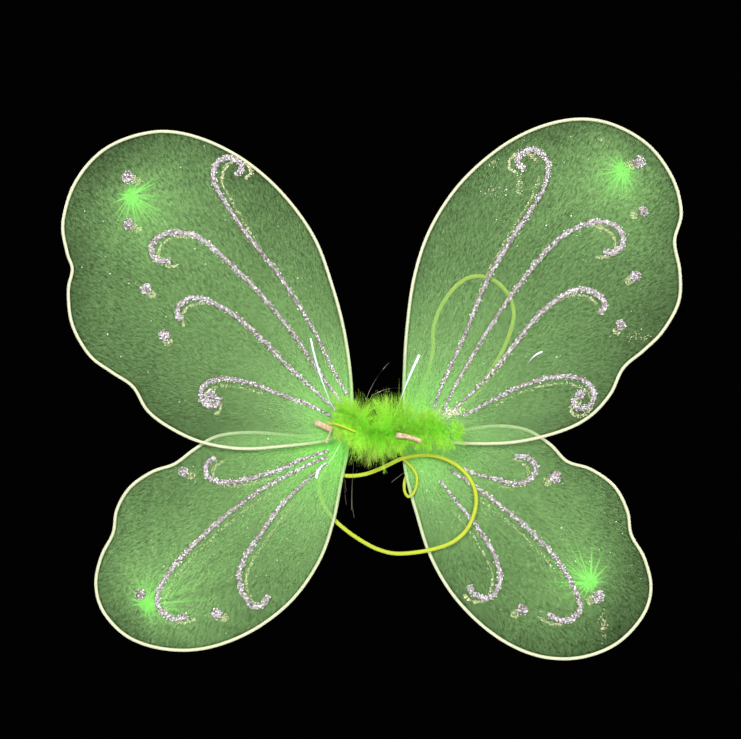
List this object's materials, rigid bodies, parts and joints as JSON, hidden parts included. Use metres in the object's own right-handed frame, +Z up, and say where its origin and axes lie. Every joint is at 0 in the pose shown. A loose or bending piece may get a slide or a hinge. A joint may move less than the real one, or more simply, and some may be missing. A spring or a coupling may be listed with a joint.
{
  "type": "fairy wings",
  "caption": "Butterfly-shaped costume wings: sheer green nylon on bent wire, glitter glue scrolls, a fluffy marabou centre and elastic shoulder loops.",
  "frame": {"origin": "the middle of the centre binding, which rests between the wearer's shoulder blades", "axes": "X across the wearer's back, to the right in a view of the decorated face; +Y from the decorated face to the wearer; +Z up"},
  "size_m": [0.4716, 0.0444, 0.4127],
  "materials": {
    "wing_wire": "satin",
    "bare_wire": "satin",
    "sheer_nylon": "satin",
    "gathered_nylon": "satin",
    "glitter_glue": "gloss",
    "thread": "matte",
    "elastic": "matte",
    "marabou": "matte",
    "tinsel": "gloss"
  },
  "bodies": {
    "centre": {"centre_spine": "wing_wire", "centre_binding": "thread", "left_loop_knot": "elastic", "left_shoulder_loop": "elastic", "marabou_centre": "marabou", "tinsel_centre": "tinsel"},
    "left_root": {"left_link": "bare_wire", "left_lashing": "thread", "left_winding": "thread", "left_elastic_stub": "elastic", "marabou_left": "marabou", "tinsel_left": "tinsel"},
    "right_root": {"right_link": "bare_wire", "right_lashing": "thread", "right_winding": "thread", "right_loop_knot": "elastic", "right_shoulder_loop": "elastic", "elastic_tail": "elastic", "marabou_right": "marabou", "tinsel_right": "tinsel"},
    "upper_left_wing": {"upper_left_wire": "wing_wire", "upper_left_nylon": "sheer_nylon", "upper_left_swirls": "glitter_glue", "upper_left_dots": "glitter_glue", "upper_left_root_gather": "gathered_nylon", "upper_left_end_gather": "gathered_nylon", "upper_left_end_tie": "thread"},
    "lower_left_wing": {"lower_left_wire": "wing_wire", "lower_left_nylon": "sheer_nylon", "lower_left_swirls": "glitter_glue", "lower_left_dots": "glitter_glue", "lower_left_root_gather": "gathered_nylon", "lower_left_end_gather": "gathered_nylon", "lower_left_end_tie": "thread"},
    "upper_right_wing": {"upper_right_wire": "wing_wire", "upper_right_nylon": "sheer_nylon", "upper_right_swirls": "glitter_glue", "upper_right_dots": "glitter_glue", "upper_right_root_gather": "gathered_nylon", "upper_right_end_gather": "gathered_nylon", "upper_right_end_tie": "thread"},
    "lower_right_wing": {"lower_right_wire": "wing_wire", "lower_right_nylon": "sheer_nylon", "lower_right_swirls": "glitter_glue", "lower_right_dots": "glitter_glue", "lower_right_root_gather": "gathered_nylon", "lower_right_end_gather": "gathered_nylon", "lower_right_end_tie": "thread"}
  },
  "joints": [
    {"name": "left_flap", "type": "hinge", "parent": "centre", "child": "left_root", "pos_m": [-0.012, 0, 0], "axis": [0, 0, 1], "range_deg": [0, 55], "deforming": ["marabou_left", "marabou_centre", "tinsel_left", "tinsel_centre"]},
    {"name": "right_flap", "type": "hinge", "parent": "centre", "child": "right_root", "pos_m": [0.012, 0, 0], "axis": [0, 0, -1], "range_deg": [0, 55], "deforming": ["marabou_right", "tinsel_right", "left_shoulder_loop"]},
    {"name": "upper_left_fan", "type": "hinge", "parent": "left_root", "child": "upper_left_wing", "pos_m": [-0.022, 0, 0], "axis": [0, 1, 0], "range_deg": [-6, 12]},
    {"name": "lower_left_fan", "type": "hinge", "parent": "left_root", "child": "lower_left_wing", "pos_m": [-0.022, 0, 0], "axis": [0, 1, 0], "range_deg": [-12, 8]},
    {"name": "upper_right_fan", "type": "hinge", "parent": "right_root", "child": "upper_right_wing", "pos_m": [0.022, 0, 0], "axis": [0, -1, 0], "range_deg": [-6, 12]},
    {"name": "lower_right_fan", "type": "hinge", "parent": "right_root", "child": "lower_right_wing", "pos_m": [0.022, 0, 0], "axis": [0, -1, 0], "range_deg": [-12, 8], "deforming": ["elastic_tail"]}
  ]
}
